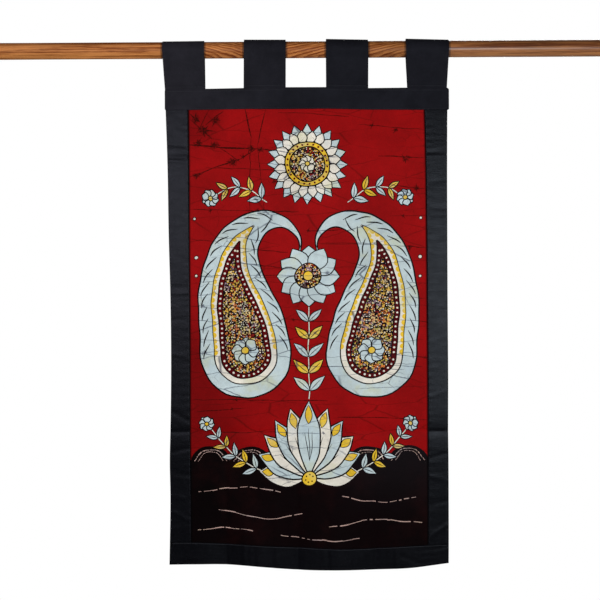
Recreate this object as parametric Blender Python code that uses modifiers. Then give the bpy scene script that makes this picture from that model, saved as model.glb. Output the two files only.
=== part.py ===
"""Batik wall hanging on a round wooden pole.

A dyed cotton panel is framed by black cotton strips and hangs by four tabs that loop over the pole.
Metres, +Z up. The origin is on the pole's axis, above the middle of the cloth, and the front faces -Y.
"""

import math

import bmesh
import bpy
import numpy as np
from mathutils import Vector

# Pole
POLE_DIAMETER = 0.035
POLE_LENGTH = 1.370
POLE_SIDES = 32
POLE_CHAMFER = 0.0015

# Nominal heights, counted down from the pole's axis. HEADING and SAG hold how far each seam strays from them.
PANEL_TOP = -0.1250
HEM_SEAM = -1.0370
HEM = -1.0835

# Thickness of each cloth, and the gap between pieces that are sewn or laid together
PANEL_THICKNESS = 0.0012
BORDER_THICKNESS = 0.0020
HEADING_THICKNESS = 0.0030
TAB_THICKNESS = 0.0012
GAP = 0.0003

# How finely the sheets are divided. A span lies between two columns of points.
ROW_STEP = 0.030
PANEL_SPANS = 17
BORDER_SPANS = 2
ZONE_SPANS = (BORDER_SPANS, PANEL_SPANS, BORDER_SPANS)
HEM_ROWS = 3
TAB_COLUMNS = 3
TAB_ARC_STEPS = 12
SHARP_ANGLE = math.radians(35)

# Colour, roughness and metallic value of each material
MATERIALS = {
    "batik_cotton": ((0.30, 0.012, 0.012), 0.85, 0.0),
    "black_cotton": ((0.014, 0.015, 0.018), 0.90, 0.0),
    "stained_wood": ((0.36, 0.16, 0.055), 0.45, 0.0),
}

# The cloth's outline: where its edges and its two upright seams lie at each height
OUTLINE = [
    # height, left edge, left seam, right seam, right edge
    (-0.1250, -0.2998, -0.2515, 0.2450, 0.2936),
    (-0.2370, -0.2965, -0.2509, 0.2470, 0.2925),
    (-0.3900, -0.2946, -0.2511, 0.2479, 0.2920),
    (-0.5300, -0.2916, -0.2507, 0.2483, 0.2918),
    (-0.7000, -0.2914, -0.2510, 0.2486, 0.2920),
    (-0.8050, -0.2934, -0.2515, 0.2483, 0.2914),
    (-0.8630, -0.2950, -0.2512, 0.2483, 0.2918),
    (-0.9400, -0.2942, -0.2508, 0.2484, 0.2919),
    (-1.0370, -0.2960, -0.2507, 0.2482, 0.2917),
    (-1.0835, -0.2972, -0.2507, 0.2482, 0.2914),
]

# The heading's own outline: its top edge, and the seam at its foot that the panel and side strips hang from
HEADING = [
    # across, height of the top edge, height of the seam
    (-0.3015, -0.0818, -0.1260),
    (-0.2157, -0.0814, -0.1255),
    (-0.1354, -0.0802, -0.1244),
    (-0.0466, -0.0789, -0.1249),
    (0.0384, -0.0791, -0.1246),
    (0.1273, -0.0817, -0.1270),
    (0.2092, -0.0812, -0.1278),
    (0.2971, -0.0818, -0.1284),
]
TOP_SEAM_FADES = -0.2000

# How far the bottom strip's seam and its lower edge hang below HEM_SEAM and HEM
SAG = [
    # across, drop of the seam, drop of the lower edge
    (-0.2975, 0.0004, 0.0006),
    (-0.2500, 0.0000, 0.0001),
    (-0.1940, 0.0021, 0.0003),
    (-0.1450, 0.0052, 0.0029),
    (-0.0940, 0.0083, 0.0073),
    (-0.0180, 0.0118, 0.0132),
    (0.0650, 0.0158, 0.0144),
    (0.1500, 0.0134, 0.0129),
    (0.2100, 0.0100, 0.0103),
    (0.2920, 0.0070, 0.0004),
]
SAG_BEGINS = -0.8500

# The folds that packing left across the cloth, and how far each lies behind the plane below the pole
PACKING_FOLDS = [
    # height, depth of the cloth, depth of the crease at the left and at the right, half width of the crease
    (-0.1250, 0.0000, 0.0000, 0.0000, 0.014),
    (-0.2170, -0.0003, -0.0002, -0.0004, 0.014),
    (-0.5120, -0.0014, 0.0004, 0.0010, 0.014),
    (-0.8050, -0.0020, 0.0010, 0.0014, 0.018),
    (-1.0900, 0.0035, 0.0000, 0.0000, 0.014),
]
CREASE_ROWS = (-0.018, 0.0, 0.018)

# Upright flutes that run up from the lower edge and die out
HEM_FLUTES = [
    # across, depth at the lower edge, half width
    (-0.2350, -0.0018, 0.028),
    (-0.1740, 0.0026, 0.024),
    (-0.1100, -0.0022, 0.030),
    (-0.0270, 0.0024, 0.022),
    (0.0560, -0.0026, 0.036),
    (0.1370, 0.0020, 0.024),
    (0.2100, -0.0016, 0.030),
]
FLUTE_HEIGHT = 0.150

# Tabs: where each one's sides lie, and how far its pressed fold stands off the top of the pole
TABS = [
    # left and right over the pole, left and right at the heading, rise at the left and at the right
    (-0.3056, -0.2176, -0.3013, -0.2157, 0.0000, 0.0004),
    (-0.1340, -0.0461, -0.1354, -0.0466, 0.0028, 0.0023),
    (0.0386, 0.1273, 0.0384, 0.1273, 0.0030, 0.0014),
    (0.2065, 0.2968, 0.2092, 0.2931, 0.0026, 0.0005),
]
TAB_SEWN_HEIGHT = 0.0043
TAB_FOLD_SPAN = 0.62


def curve_through(stations, values, at):
    """Values of a smooth curve through a short table, whose stations rise."""
    stations = np.asarray(stations, float)
    values = np.asarray(values, float)
    at = np.clip(at, stations[0], stations[-1])
    slopes = np.gradient(values, stations)
    i = np.clip(np.searchsorted(stations, at) - 1, 0, len(stations) - 2)
    width = stations[i + 1] - stations[i]
    t = (at - stations[i]) / width
    ease = t * t * (3 - 2 * t)
    lead_in = t * (1 - t) ** 2 * slopes[i]
    lead_out = -t * t * (1 - t) * slopes[i + 1]
    return values[i] * (1 - ease) + values[i + 1] * ease + width * (lead_in + lead_out)


def ramp(value, start, end):
    """0 at start, 1 at end and smooth between them."""
    t = min(max((value - start) / (end - start), 0.0), 1.0)
    return t * t * (3 - 2 * t)


def outline_at(height):
    """Left edge, left seam, right seam and right edge of the cloth at this height."""
    rows = OUTLINE[::-1]
    heights = [row[0] for row in rows]
    return [float(curve_through(heights, [row[i] for row in rows], height)) for i in (1, 2, 3, 4)]


def sag_at(across):
    """How far the bottom seam and the lower edge hang below their nominal heights."""
    places = [row[0] for row in SAG]
    return [float(curve_through(places, [row[i] for row in SAG], across)) for i in (1, 2)]


def heading_at(across):
    """Heights of the heading's top edge and of the seam at its foot."""
    places = [row[0] for row in HEADING]
    return [float(np.interp(across, places, [row[i] for row in HEADING])) for i in (1, 2)]


def depth_at(across, height):
    """How far the middle of the cloth lies behind the plane below the pole's axis."""
    folds = PACKING_FOLDS[::-1]
    depth = float(np.interp(height, [fold[0] for fold in folds], [fold[1] for fold in folds]))
    left, _, _, right = outline_at(height)
    share = (across - left) / (right - left)
    for fold_height, _, crease_left, crease_right, half_width in PACKING_FOLDS:
        crease = crease_left + (crease_right - crease_left) * share
        depth += crease * math.exp(-abs(height - fold_height) / half_width)
    fade = ramp(height, HEM + FLUTE_HEIGHT, HEM)
    for place, flute, half_width in HEM_FLUTES:
        depth += fade * flute * math.exp(-(((across - place) / half_width) ** 2))
    return depth


def rows_between(top, bottom):
    """Heights of the cloth's rows: an even spacing, with rows of their own at each packing fold."""
    creased = [fold[0] + step for fold in PACKING_FOLDS[1:-1] for step in CREASE_ROWS]
    even = np.linspace(top, bottom, round((top - bottom) / ROW_STEP) + 1)
    clear = [row for row in even[1:-1] if min(abs(row - c) for c in creased) > ROW_STEP / 3]
    return sorted([top, bottom, *clear, *creased], reverse=True)


def make_material(name):
    colour, roughness, metallic = MATERIALS[name]
    material = bpy.data.materials.new(name)
    material.use_nodes = True
    shader = material.node_tree.nodes["Principled BSDF"]
    shader.inputs["Base Color"].default_value = (*colour, 1.0)
    shader.inputs["Roughness"].default_value = roughness
    shader.inputs["Metallic"].default_value = metallic
    return material


def add_object(name, mesh, material, collection):
    """Puts a mesh in the collection as one smooth-shaded, named part."""
    mesh.shade_smooth()
    mesh.set_sharp_from_angle(angle=SHARP_ANGLE)
    mesh.materials.append(material)
    part = bpy.data.objects.new(name, mesh)
    collection.objects.link(part)
    return part


def sheet_mesh(name, columns, rows, place, thickness):
    """A closed sheet. place(column, row) gives the middle of the cloth, whose thickness lies along Y."""
    mesh_maker = bmesh.new()
    bmesh.ops.create_grid(mesh_maker, x_segments=columns - 1, y_segments=rows - 1, size=0.5)
    for vertex in mesh_maker.verts:
        column = round((vertex.co.x + 0.5) * (columns - 1))
        row = round((0.5 - vertex.co.y) * (rows - 1))
        vertex.co = place(column, row) - Vector((0, thickness / 2, 0))
    doubled = bmesh.ops.extrude_face_region(mesh_maker, geom=mesh_maker.faces[:], use_keep_orig=True)
    moved = [item for item in doubled["geom"] if isinstance(item, bmesh.types.BMVert)]
    bmesh.ops.translate(mesh_maker, verts=moved, vec=(0, thickness, 0))
    bmesh.ops.recalc_face_normals(mesh_maker, faces=mesh_maker.faces[:])
    mesh = bpy.data.meshes.new(name)
    mesh_maker.to_mesh(mesh)
    mesh_maker.free()
    return mesh


def hanging_point(zone, share, height, drop_share):
    """Middle of the cloth at a share of the way across a zone.

    Zone 0 is the left strip, 1 the panel and 2 the right strip. drop_share is 0 down to the bottom seam, and then
    rises to 1 at the lower edge.
    """
    edges = outline_at(height)
    across = edges[zone] + (edges[zone + 1] - edges[zone]) * share
    seam_drop, hem_drop = sag_at(across)
    drop = seam_drop + (hem_drop - seam_drop) * drop_share
    drop *= ramp(height, SAG_BEGINS, HEM_SEAM)
    drop += (PANEL_TOP - heading_at(across)[1]) * ramp(height, TOP_SEAM_FADES, PANEL_TOP)
    return Vector((across, depth_at(across, height), height - drop))


def add_upright_piece(name, zone, thickness, material, collection):
    """The panel or a side strip, which hangs from the heading to the bottom strip."""
    heights = rows_between(PANEL_TOP, HEM_SEAM)
    last = len(heights) - 1
    half_gap = GAP / 2
    spans = ZONE_SPANS[zone]

    def place(column, row):
        point = hanging_point(zone, column / spans, heights[row], 0.0)
        if column == 0 and zone > 0:
            point.x += half_gap
        if column == spans and zone < 2:
            point.x -= half_gap
        if row == 0:
            point.z -= half_gap
        if row == last:
            point.z += half_gap
        return point

    mesh = sheet_mesh(name, spans + 1, len(heights), place, thickness)
    return add_object(name, mesh, material, collection)


def add_bottom_strip(material, collection):
    """One strip across the full width, below the panel and both side strips."""
    stations = [(zone, step / count) for zone, count in enumerate(ZONE_SPANS) for step in range(count)]
    stations.append((2, 1.0))

    def place(column, row):
        share = row / (HEM_ROWS - 1)
        zone, across_share = stations[column]
        point = hanging_point(zone, across_share, HEM_SEAM + (HEM - HEM_SEAM) * share, share)
        if row == 0:
            point.z -= GAP / 2
        return point

    mesh = sheet_mesh("border_bottom", len(stations), HEM_ROWS, place, BORDER_THICKNESS)
    return add_object("border_bottom", mesh, material, collection)


def add_heading(material, collection):
    """The band that the tabs are sewn into, with columns at the sides and middles of the tabs and windows."""
    stations = [HEADING[0][0]]
    for row, following in zip(HEADING, HEADING[1:]):
        stations += [(row[0] + following[0]) / 2, following[0]]

    def place(column, row):
        across = stations[column]
        top, seam = heading_at(across)
        height = (top, (top + seam) / 2, seam + GAP / 2)[row]
        return Vector((across, 0.0, height))

    mesh = sheet_mesh("heading_band", len(stations), 3, place, HEADING_THICKNESS)
    return add_object("heading_band", mesh, material, collection)


def tab_path(foot, rise):
    """The strap's middle line in the YZ plane, from its front end up over the pole and down to its back end.

    foot is the height of both ends, and rise is how far the pressed fold stands off the top of the pole.
    """
    end_y = (TAB_THICKNESS + GAP) / 2
    sewn = foot + TAB_SEWN_HEIGHT
    middle = POLE_DIAMETER / 2 + GAP + TAB_THICKNESS / 2
    lean = math.atan2(middle - end_y, -sewn)
    half_step = (math.pi + 2 * lean) / TAB_ARC_STEPS / 2
    over = []
    for step in range(TAB_ARC_STEPS + 1):
        angle = -lean + 2 * half_step * step
        near_top = max(0.0, 1 - abs(angle - math.pi / 2) / TAB_FOLD_SPAN)
        radius = middle / math.cos(half_step) + rise * near_top**2
        over.append((-radius * math.cos(angle), radius * math.sin(angle)))
    front = [(-end_y, foot), (-end_y, sewn)]
    back = [(end_y, sewn), (end_y, foot)]
    return front + over + back


def add_tab(number, row, material, collection):
    """A strap folded over the pole, as a bent sheet with Solidify."""
    pole_left, pole_right, foot_left, foot_right, rise_left, rise_right = row
    shares = [column / (TAB_COLUMNS - 1) for column in range(TAB_COLUMNS)]
    feet = [heading_at(foot_left + (foot_right - foot_left) * share)[0] + GAP for share in shares]
    rises = [rise_left + (rise_right - rise_left) * share for share in shares]
    paths = [tab_path(foot, rise) for foot, rise in zip(feet, rises)]
    path_steps = len(paths[0]) - 1
    name = f"tab_{number}"
    mesh_maker = bmesh.new()
    bmesh.ops.create_grid(mesh_maker, x_segments=TAB_COLUMNS - 1, y_segments=path_steps, size=0.5)
    for vertex in mesh_maker.verts:
        column = round((vertex.co.x + 0.5) * (TAB_COLUMNS - 1))
        y, z = paths[column][round((vertex.co.y + 0.5) * path_steps)]
        at_foot = min(max(z / feet[column], 0.0), 1.0)
        left = pole_left + (foot_left - pole_left) * at_foot
        right = pole_right + (foot_right - pole_right) * at_foot
        vertex.co = (left + (right - left) * shares[column], y, z)
    mesh = bpy.data.meshes.new(name)
    mesh_maker.to_mesh(mesh)
    mesh_maker.free()
    tab = add_object(name, mesh, material, collection)
    thicken = tab.modifiers.new("Solidify", "SOLIDIFY")
    thicken.thickness = TAB_THICKNESS
    thicken.offset = 0.0
    thicken.use_even_offset = True
    return tab


def add_pole(material, collection):
    """The round pole along X, with a small chamfer at each sawn end."""
    bpy.ops.mesh.primitive_cylinder_add(
        vertices=POLE_SIDES, radius=POLE_DIAMETER / 2, depth=POLE_LENGTH, rotation=(0, math.pi / 2, 0)
    )
    pole = bpy.context.object
    pole.name = "pole"
    pole.data.shade_smooth()
    pole.data.set_sharp_from_angle(angle=SHARP_ANGLE)
    pole.data.materials.append(material)
    chamfer = pole.modifiers.new("Bevel", "BEVEL")
    chamfer.width = POLE_CHAMFER
    chamfer.segments = 1
    chamfer.limit_method = "ANGLE"
    chamfer.angle_limit = SHARP_ANGLE
    for holder in pole.users_collection:
        holder.objects.unlink(pole)
    collection.objects.link(pole)
    return pole


def build():
    for old in list(bpy.data.objects):
        bpy.data.objects.remove(old)
    collection = bpy.data.collections.new("batik_wall_hanging")
    bpy.context.scene.collection.children.link(collection)
    batik, black, wood = (make_material(name) for name in MATERIALS)
    add_pole(wood, collection)
    for number, row in enumerate(TABS, start=1):
        add_tab(number, row, black, collection)
    add_heading(black, collection)
    add_upright_piece("border_left", 0, BORDER_THICKNESS, black, collection)
    add_upright_piece("batik_panel", 1, PANEL_THICKNESS, batik, collection)
    add_upright_piece("border_right", 2, BORDER_THICKNESS, black, collection)
    add_bottom_strip(black, collection)


build()
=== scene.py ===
"""Looks of the batik wall hanging: dyed cotton panel, doubled black cotton frame and tabs, oak pole.

Metres, +Z up, and the front of the cloth faces -Y. The tables are in millimetres from the pole's middle. The
dyed picture is drawn in millimetres on the flat panel, X from its middle and Y up from its lower edge.
"""

import math

import bpy
import numpy as np
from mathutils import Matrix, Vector
from mathutils.geometry import delaunay_2d_cdt


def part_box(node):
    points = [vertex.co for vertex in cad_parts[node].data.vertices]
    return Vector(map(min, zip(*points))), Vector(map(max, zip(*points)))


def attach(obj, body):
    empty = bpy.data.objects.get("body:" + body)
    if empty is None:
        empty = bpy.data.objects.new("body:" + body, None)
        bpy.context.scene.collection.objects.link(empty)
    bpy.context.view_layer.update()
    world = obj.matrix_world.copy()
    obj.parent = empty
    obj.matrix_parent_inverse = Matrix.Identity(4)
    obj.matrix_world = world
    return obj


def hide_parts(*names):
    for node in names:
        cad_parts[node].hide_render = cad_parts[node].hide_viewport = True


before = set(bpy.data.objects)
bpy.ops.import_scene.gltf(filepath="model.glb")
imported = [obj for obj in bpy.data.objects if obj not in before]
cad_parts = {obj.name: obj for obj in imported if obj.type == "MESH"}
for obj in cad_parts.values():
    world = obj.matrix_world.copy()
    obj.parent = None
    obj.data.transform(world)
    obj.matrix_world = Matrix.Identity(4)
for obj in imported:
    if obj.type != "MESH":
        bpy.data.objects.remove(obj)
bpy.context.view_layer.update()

MM = 0.001

# The pole's size comes from the frame. The heights are nominal, and HEADING and SAG say how far each strays.
POLE_RADIUS = (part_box("pole")[1].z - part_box("pole")[0].z) / 2
POLE_HALF_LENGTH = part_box("pole")[1].x
PANEL_TOP = -0.1250
HEM_SEAM = -1.0370
HEM = -1.0835
SIDE_WIDTH = 0.045
HEM_LENGTH = 0.585

# Cloth thicknesses, how far the middle of each layer lies from the middle of a doubled strip, the lap of one
# cloth under another at a seam, and the pitch of each weave
PLY = 0.0006
TAB_PLY = 0.0012
STRIP_SPREAD = 0.0008
BAND_SPREAD = 0.0014
LAP = 0.007
BATIK_WEAVE = 0.0007
BLACK_WEAVE = 0.0006
# Steps of the meshes, and how close to a folded edge the cloth is still flat
SIDE_STEP = 0.0036
BAND_STEP = 0.0034
END_STEP = 0.006
TAB_STEP = 0.0045
FOLD_SUPPORT = 0.0007
# Extra places close to the ends of the heading and the bottom strip, as shares of their length, and close to
# the sides of a tab, in metres
END_STATIONS = (0.0002, 0.0005, 0.0010, 0.0016, 0.0024, 0.0040, 0.0060)
TAB_STATIONS = (0.0003, 0.0008, 0.0016)
# What strips, heading and tabs are cut to, and where each starts on the cloth that its weave is read from
TAB_CUT = (0.087, 0.225)
RIGHT_START, HEM_START, BAND_START, TAB_START = 0.3, 0.7, 1.4, 2.1

# The cloth's outline: where its edges and its two upright seams lie at each height
OUTLINE = [
    # height, left edge, left seam, right seam, right edge
    (-125, -299.8, -251.5, 245, 293.6),
    (-237, -296.5, -250.9, 247, 292.5),
    (-390, -294.6, -251.1, 247.9, 292),
    (-530, -291.6, -250.7, 248.3, 291.8),
    (-700, -291.4, -251, 248.6, 292),
    (-805, -293.4, -251.5, 248.3, 291.4),
    (-863, -295, -251.2, 248.3, 291.8),
    (-940, -294.2, -250.8, 248.4, 291.9),
    (-1037, -296, -250.7, 248.2, 291.7),
    (-1083.5, -297.2, -250.7, 248.2, 291.4),
]

# The heading's own outline: its top edge, and the seam at its foot that the panel and side strips hang from
HEADING = [
    # across, height of the top edge, height of the seam
    (-301.5, -81.8, -126),
    (-215.7, -81.4, -125.5),
    (-135.4, -80.2, -124.4),
    (-46.6, -78.9, -124.9),
    (38.4, -79.1, -124.6),
    (127.3, -81.7, -127),
    (209.2, -81.2, -127.8),
    (297.1, -81.8, -128.4),
]
BAND_LEFT = HEADING[0][0] * MM
BAND_RIGHT = HEADING[-1][0] * MM
BAND_WIDTH = (HEADING[0][1] - HEADING[0][2]) * MM
BAND_CORNER = 0.0045
TOP_SEAM_FADES = -0.2000

# How far the bottom strip's seam and its lower edge hang below HEM_SEAM and HEM
SAG = [
    # across, drop of the seam, drop of the lower edge
    (-297.5, 0.4, 0.6),
    (-250, 0, 0.1),
    (-194, 2.1, 0.3),
    (-145, 5.2, 2.9),
    (-94, 8.3, 7.3),
    (-18, 11.8, 13.2),
    (65, 15.8, 14.4),
    (150, 13.4, 12.9),
    (210, 10, 10.3),
    (292, 7, 0.4),
]
SAG_BEGINS = -0.8500

# The folds that packing left across the cloth, and how far each lies behind the plane below the pole
PACKING_FOLDS = [
    # height, depth of the cloth, depth of the crease at the left and at the right, half width of the crease
    (-125, 0, 0, 0, 14),
    (-217, -0.3, -0.2, -0.4, 14),
    (-512, -1.4, 0.4, 1, 14),
    (-805, -2, 1, 1.4, 18),
    (-1090, 3.5, 0, 0, 14),
]

# Upright flutes that run up from the lower edge and die out
HEM_FLUTES = [
    # across, depth at the lower edge, half width
    (-235, -1.8, 28),
    (-174, 2.6, 24),
    (-110, -2.2, 30),
    (-27, 2.4, 22),
    (56, -2.6, 36),
    (137, 2, 24),
    (210, -1.6, 30),
]
FLUTE_HEIGHT = 0.150

# Small creases, each along a straight line: two ends, depth and half width. A trough is positive.
CREASES = [
    # across 1, height 1, across 2, height 2, depth, half width
    (-300, -217, 292, -218.5, 0.6, 3),
    (-296, -512, 292, -513.5, -0.7, 3),
    (-296, -498, -150, -499, 0.4, 3),
    (-296, -803.5, 292, -806, 0.8, 3.4),
    (-298, -198, -255, -201, 0.6, 3),
    (-298, -232, -252, -236, -0.6, 3.5),
    (-294, -569, -250, -565, 0.3, 3.5),
    (-294, -640, -252, -646, -0.3, 4),
    (-292, -760, -250, -782, 0.4, 4.5),
    (-292, -847, -246, -835, 0.5, 4.5),
    (-293, -886, -250, -898, 0.3, 4.5),
    (-294, -938, -262, -944, -0.4, 3.5),
    (-294, -970, -256, -990, -0.5, 3.5),
    (-296, -1008, -262, -1002, -0.3, 4),
    (245, -217, 292, -211, 0.3, 3.5),
    (247, -281, 291, -276, 0.3, 4),
    (247, -333, 290, -337, 0.3, 4),
    (247, -361, 290, -357, -0.3, 4),
    (248, -430, 291, -435, 0.3, 3.5),
    (248, -475, 291, -470, -0.3, 4),
    (248, -546, 291, -552, 0.4, 3.5),
    (249, -735, 291, -720, -0.3, 4.5),
    (249, -862, 291, -852, 0.4, 4.5),
    (249, -898, 292, -908, -0.3, 4.5),
    (249, -956, 292, -948, 0.4, 5),
    (248, -1022, 292, -995, -0.6, 4),
    (-177, -840, -177, -1088, 1, 3.2),
    (-137, -990, -140, -1088, -0.7, 3.4),
    (-120, -1040, -117, -1088, 0.6, 2.8),
    (-74, -950, -71, -1092, -0.8, 3.4),
    (-28, -880, -26, -1098, 1, 3.2),
    (-10, -1030, -13, -1098, -0.6, 3),
    (37, -970, 38, -1098, 0.8, 3.4),
    (85, -1020, 83, -1098, -0.7, 3.4),
    (136, -930, 138, -1096, 0.9, 3.4),
    (180, -1010, 182, -1092, -0.7, 3.4),
    (260, -1048, 290, -1040, 0.3, 4.5),
    (190, -1056, 246, -1082, 0.3, 4.5),
    (-290, -1064, -226, -1050, 0.3, 4.5),
]
# The fine waves that the stitching draws up: their depth, and how far they reach from a seam
SIDE_PUCKER = 0.00015
SIDE_PUCKER_REACH = 0.011
HEM_PUCKER = 0.00022
HEM_PUCKER_REACH = 0.012

# Tabs: where each one's sides lie, and how far its pressed fold stands off the top of the pole
TABS = [
    # left and right over the pole, left and right at the heading, rise at the left and at the right
    (-305.6, -217.6, -301.3, -215.7, 0, 0.8),
    (-134, -46.1, -135.4, -46.6, 3.5, 2.8),
    (38.6, 127.3, 38.4, 127.3, 4.1, 1.8),
    (206.5, 296.8, 209.2, 293.1, 3.7, 0.7),
]
# A tab's gap to the pole and between its legs, where its legs leave the pole, its sewn foot and its fold
TAB_CLEARANCE = 0.0003
TAB_LEG_GAP = 0.0002
TAB_FREE_FROM = -0.019
TAB_SEWN_HEIGHT = 0.0043
TAB_TUCK = 0.006
TAB_FOLD_SPAN = 0.62
TAB_PATH_POINTS = 110
TAB_RIM = 0.0008
TAB_SLACK = 0.0007
# Where the painted light on the black cloth at the top falls off, from its lighter colour at the left to its
# darker one at the right
PAINTED_LIGHT_FROM = -0.28
PAINTED_LIGHT_TO = 0.06

# Rows of stitches: how far each lies from a seam or an edge, and the groove that it draws into the cloth
SEAM_ROW = 0.0022
EDGE_ROW = 0.0052
TOP_ROW = 0.0050
END_ROW = 0.009
GROOVE = 0.00022
GROOVE_HALF_WIDTH = 0.0011
TAB_GROOVE = 0.00025
TAB_GROOVE_HALF_WIDTH = 0.0012
# One stitch: its length, the gap to the next, the thread's thickness, and the thread's course and section
STITCH = 0.0030
STITCH_GAP = 0.0011
ROW_END = 0.002
THREAD = 0.00038
BOW_SHARES = np.array([0.0, 0.2, 0.8, 1.0])
BOW_LIFTS = np.array([-0.8, 0.35, 0.35, -0.8])
RING = np.array([(1, 0), (0, 1), (-1, 0), (0, -1)])
FRONT = np.array([0.0, -1.0, 0.0])

# The pole's rounded ends, its unevenness and the gap between its growth lines
POLE_SIDES = 72
POLE_EASING = 0.0016
POLE_WAVER = 0.00006
GROWTH_LINE_PITCH = 0.0056

# The picture on the panel, in millimetres. Points of its mesh closer than MERGE_DISTANCE count as one.
PANEL_HALF_WIDTH = 249.0
PANEL_HEIGHT = (PANEL_TOP - HEM_SEAM) / MM
MESH_STEP = 6.4
MERGE_DISTANCE = 0.05
INK_WIDTH = 2.8

# The dark ground: the arches of its upper edge, and the wax strokes on it
ARCHES = 6
ARCH_FOOT = 172.0
ARCH_RISE = 30.0
ARCH_STROKES = [
    # how far inside the arch, width
    (7, 1.7),
    (15, 1.1),
]
RIPPLES = [
    # height, start, end, bow
    (112, -232, -60, 6),
    (96, 70, 228, -7),
    (64, -190, -10, -8),
    (50, 40, 236, 6),
    (30, -236, -120, 4),
    (20, -60, 110, -5),
]
RIPPLE_WIDTH = 1.9
GROUND_SEED = 7

# The motifs. Those at one side are mirrored to the other. LOTUS_LEANS is how far the lotus's petals lean.
LOTUS_FOOT = (0, 138)
LOTUS_LEANS = (84, 66, 48, 31, 15, 0)
STEM = [(0, 300), (0, 400), (0, 520)]
BLOSSOM = (0, 560)
ROSETTE = (0, 796)
PAISLEY = {"centre": (132, 398), "bulb": 95, "length": 440, "course": 84, "turn": 222}
LOWER_SPRAY = [(100, 150), (160, 186), (214, 250)]
UPPER_SPRAY = [(84, 716), (124, 742), (166, 746), (206, 726)]
WAX_DOTS = [
    # across, up, radius
    (236, 600, 4),
    (236, 560, 3.2),
    (238, 682, 3.2),
]

# sRGB values of each dye, 0 to 255
DYES = {
    "red": (140, 9, 11),
    "deep": (88, 7, 10),
    "black": (12, 7, 8),
    "dark": (8, 2, 3),
    "pale": (185, 200, 201),
    "cream": (220, 214, 200),
    "ochre": (219, 180, 48),
    "wax": (176, 146, 136),
    "speckle": (20, 12, 12),
}

# Cracks in the wax. Folding the waxed cloth broke it in straight lines, most at the upper left.
FOLD_CRACKS = [
    # across 1, up 1, across 2, up 2, width
    (-249, 838, -120, 830, 3.2),
    (-124, 831, 64, 812, 2.8),
    (-249, 770, -142, 806, 2.3),
    (-150, 802, -104, 830, 2.0),
    (-186, 832, -140, 800, 2.0),
    (-214, 790, 20, 782, 1.4),
    (-130, 912, -118, 852, 3.0),
    (-118, 852, -120, 700, 1.6),
    (-86, 912, -104, 834, 2.4),
    (-104, 834, -92, 690, 1.2),
    (-206, 912, -232, 860, 2.0),
    (-176, 908, -214, 880, 2.0),
    (-246, 892, -200, 850, 1.9),
    (-60, 905, 90, 896, 1.1),
    (110, 880, 247, 866, 1.3),
    (150, 812, 247, 806, 1.9),
    (168, 752, 248, 742, 1.6),
    (-249, 702, -60, 694, 1.6),
    (-249, 640, -190, 634, 1.3),
    (-236, 560, -30, 566, 1.4),
    (20, 628, 246, 618, 1.5),
    (-249, 498, -180, 492, 1.4),
    (96, 520, 248, 512, 1.3),
    (-60, 470, 120, 458, 1.6),
    (-249, 396, -150, 404, 1.3),
    (-40, 372, 200, 360, 1.5),
    (-249, 300, 40, 290, 1.5),
    (60, 262, 249, 252, 1.3),
    (-200, 232, 30, 226, 1.4),
]
CRUSHED_SPOTS = [
    # across, up, size
    (-234, 893, 17),
    (-218, 868, 21),
    (-192, 889, 16),
    (-196, 836, 18),
    (-228, 842, 13),
    (-157, 802, 18),
    (-119, 830, 15),
    (-98, 827, 12),
    (-233, 773, 14),
    (-140, 744, 9),
    (-70, 760, 9),
    (206, 806, 13),
    (229, 744, 11),
    (188, 868, 10),
    (-205, 700, 9),
    (214, 618, 10),
    (40, 566, 8),
    (-222, 498, 9),
    (150, 516, 9),
    (-218, 400, 9),
    (120, 362, 9),
]
RANDOM_CRACKS = 10
CRACK_SEED = 23
HALO_SEED = 31
HALO_STRENGTH = 0.42

# How dark the red is low at the left, from its dye and from painted shade, and in the crushed corner, as
# shares of its full tone
RED_FIELD_LOW = 0.62
CRUSHED_TONE = 0.70
CRUSHED_CORNER = (-0.249, 0.905, 0.0)
SPOTS_PER_METRE = 255.0
PATCHES_PER_METRE = 88.0
SPOT_COLOURS = [
    # share of the spots from here, colour
    (0.00, (84, 64, 62)),
    (0.13, (212, 168, 76)),
    (0.34, (120, 24, 20)),
    (0.44, (214, 192, 150)),
    (0.56, (216, 168, 50)),
    (0.68, (204, 116, 56)),
    (0.78, (170, 154, 74)),
    (0.88, (150, 122, 134)),
]


def between(start, end, share):
    return start + (end - start) * share


def eased(t):
    return t * t * (3 - 2 * t)


def ramp(value, start, end):
    """0 at start, 1 at end and smooth between them."""
    return eased(np.clip((value - start) / (end - start), 0.0, 1.0))


def ridge(offset, half_width):
    return np.exp(-((offset / half_width) ** 2))


def dome(distance, radius):
    """The height of a quarter circle that starts at an edge and is full at this radius, as a share."""
    return np.sqrt(1 - (1 - np.clip(distance / radius, 0, 1)) ** 2)


def rounded(distance, radius):
    """How thick a rim is, or how open a doubled strip, at this distance from its end, as a share."""
    return 0.25 + 0.75 * dome(distance, radius)


def curve_through(at, places, values):
    """Values of a smooth curve through a short table, whose places rise."""
    at = np.clip(at, places[0], places[-1])
    slopes = np.gradient(values, places)
    i = np.clip(np.searchsorted(places, at) - 1, 0, len(places) - 2)
    width = places[i + 1] - places[i]
    t = (at - places[i]) / width
    lead_in = t * (1 - t) ** 2 * slopes[i]
    lead_out = -t * t * (1 - t) * slopes[i + 1]
    return between(values[i], values[i + 1], eased(t)) + width * (lead_in + lead_out)


def read(table, at, line=curve_through):
    """The other columns of a table of millimetres, in metres, where the first one is at."""
    places, *values = np.array(sorted(table)).T * MM
    return [line(at, places, column) for column in values]


def outline_at(height):
    """Left edge, left seam, right seam and right edge of the cloth at these heights."""
    return read(OUTLINE, height)


def heading_at(across):
    """Heights of the heading's top edge and of the seam at its foot."""
    return read(HEADING, across, np.interp)


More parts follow.
